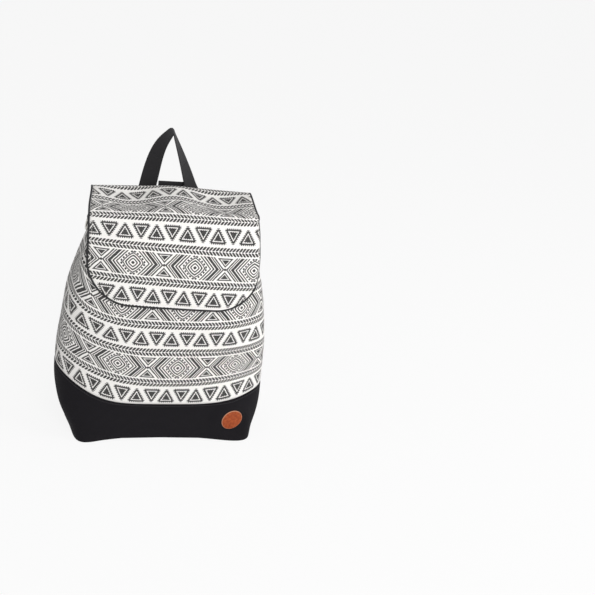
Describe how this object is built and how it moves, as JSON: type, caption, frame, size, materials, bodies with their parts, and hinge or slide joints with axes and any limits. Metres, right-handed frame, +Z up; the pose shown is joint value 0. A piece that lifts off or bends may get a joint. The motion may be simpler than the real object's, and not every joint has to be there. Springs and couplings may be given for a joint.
{
  "type": "backpack",
  "caption": "Soft canvas backpack with a printed body, black base, piped flap over a zipped mouth, loop handle and a webbing strap clipped to rings at the lower back corners.",
  "frame": {"origin": "centre of the flat underside of the base", "axes": "+Z up from the base to the handle, -Y out of the front, +X to the viewer's right"},
  "size_m": [0.339, 0.1994, 0.4848],
  "materials": {
    "printed_canvas": "off-white cotton canvas with a dark geometric print",
    "black_canvas": "near-black cotton canvas",
    "black_webbing": "black ribbed webbing",
    "black_piping": "black canvas piping",
    "leather": "reddish tan leather, bare",
    "nickel": "polished nickel plate",
    "zip_tape": "black zip tape and moulded teeth"
  },
  "bodies": {
    "bag": {"printed_body": "printed_canvas", "flap": "printed_canvas", "base_cup": "black_canvas", "flap_piping": "black_piping", "leather_patch": "leather", "zip_tape_front": "zip_tape", "zip_tape_rear": "zip_tape", "handle": "black_webbing", "strap_keeper": "black_webbing", "shoulder_strap": "black_webbing", "lower_ring_tab_left": "black_webbing", "upper_ring_tab_left": "black_webbing", "lower_ring_tab_right": "black_webbing", "upper_ring_tab_right": "black_webbing", "strap_slider": "nickel", "hook_eye_left": "nickel", "hook_eye_right": "nickel"},
    "lower_ring_left": {"lower_ring_left": "nickel"},
    "lower_ring_right": {"lower_ring_right": "nickel"},
    "upper_ring_left": {"upper_ring_left": "nickel"},
    "upper_ring_right": {"upper_ring_right": "nickel"},
    "hook_left": {"hook_body_left": "nickel"},
    "hook_right": {"hook_body_right": "nickel"},
    "gate_left": {"hook_gate_left": "nickel"},
    "gate_right": {"hook_gate_right": "nickel"},
    "zip_slider": {"zip_slider": "nickel"},
    "zip_pull": {"zip_pull": "nickel"}
  },
  "joints": [
    {"name": "lower_ring_left_hinge", "type": "hinge", "parent": "bag", "child": "lower_ring_left", "pos_m": [-0.14614, 0.0668, 0.0341], "axis": [-0.8009, -0.5264, 0.2854], "range_deg": [-5, 5]},
    {"name": "upper_ring_left_hinge", "type": "hinge", "parent": "bag", "child": "upper_ring_left", "pos_m": [-0.12823, 0, 0.34858], "axis": [0, 1, 0], "range_deg": [0, 95]},
    {"name": "hook_left_swivel", "type": "hinge", "parent": "bag", "child": "hook_left", "pos_m": [-0.14062, 0.07877, 0.07167], "axis": [0.2529, 0.1347, 0.9581], "range_deg": [-18, 18]},
    {"name": "gate_left_hinge", "type": "hinge", "parent": "hook_left", "child": "gate_left", "pos_m": [-0.14505, 0.08499, 0.07071], "axis": [-0.8009, -0.5264, 0.2854], "range_deg": [0, 20], "stiffness_Nm_per_rad": 0.04, "springref_deg": -17.19},
    {"name": "lower_ring_right_hinge", "type": "hinge", "parent": "bag", "child": "lower_ring_right", "pos_m": [0.14614, 0.0668, 0.0341], "axis": [-0.8009, 0.5264, -0.2854], "range_deg": [-5, 5]},
    {"name": "upper_ring_right_hinge", "type": "hinge", "parent": "bag", "child": "upper_ring_right", "pos_m": [0.12823, 0, 0.34858], "axis": [0, -1, 0], "range_deg": [0, 95]},
    {"name": "hook_right_swivel", "type": "hinge", "parent": "bag", "child": "hook_right", "pos_m": [0.14062, 0.07877, 0.07167], "axis": [0.2529, -0.1347, -0.9581], "range_deg": [-18, 18]},
    {"name": "gate_right_hinge", "type": "hinge", "parent": "hook_right", "child": "gate_right", "pos_m": [0.14505, 0.08499, 0.07071], "axis": [-0.8009, 0.5264, -0.2854], "range_deg": [0, 20], "stiffness_Nm_per_rad": 0.04, "springref_deg": -17.19},
    {"name": "zip_slide", "type": "slide", "parent": "bag", "child": "zip_slider", "axis": [-1, 0, 0], "range_m": [0, 0.185], "deforming": ["zip_tape_front", "zip_tape_rear"]},
    {"name": "zip_pull_hinge", "type": "hinge", "parent": "zip_slider", "child": "zip_pull", "pos_m": [0.09955, 0, 0.36885], "axis": [0, 1, 0], "range_deg": [0, 30]}
  ]
}
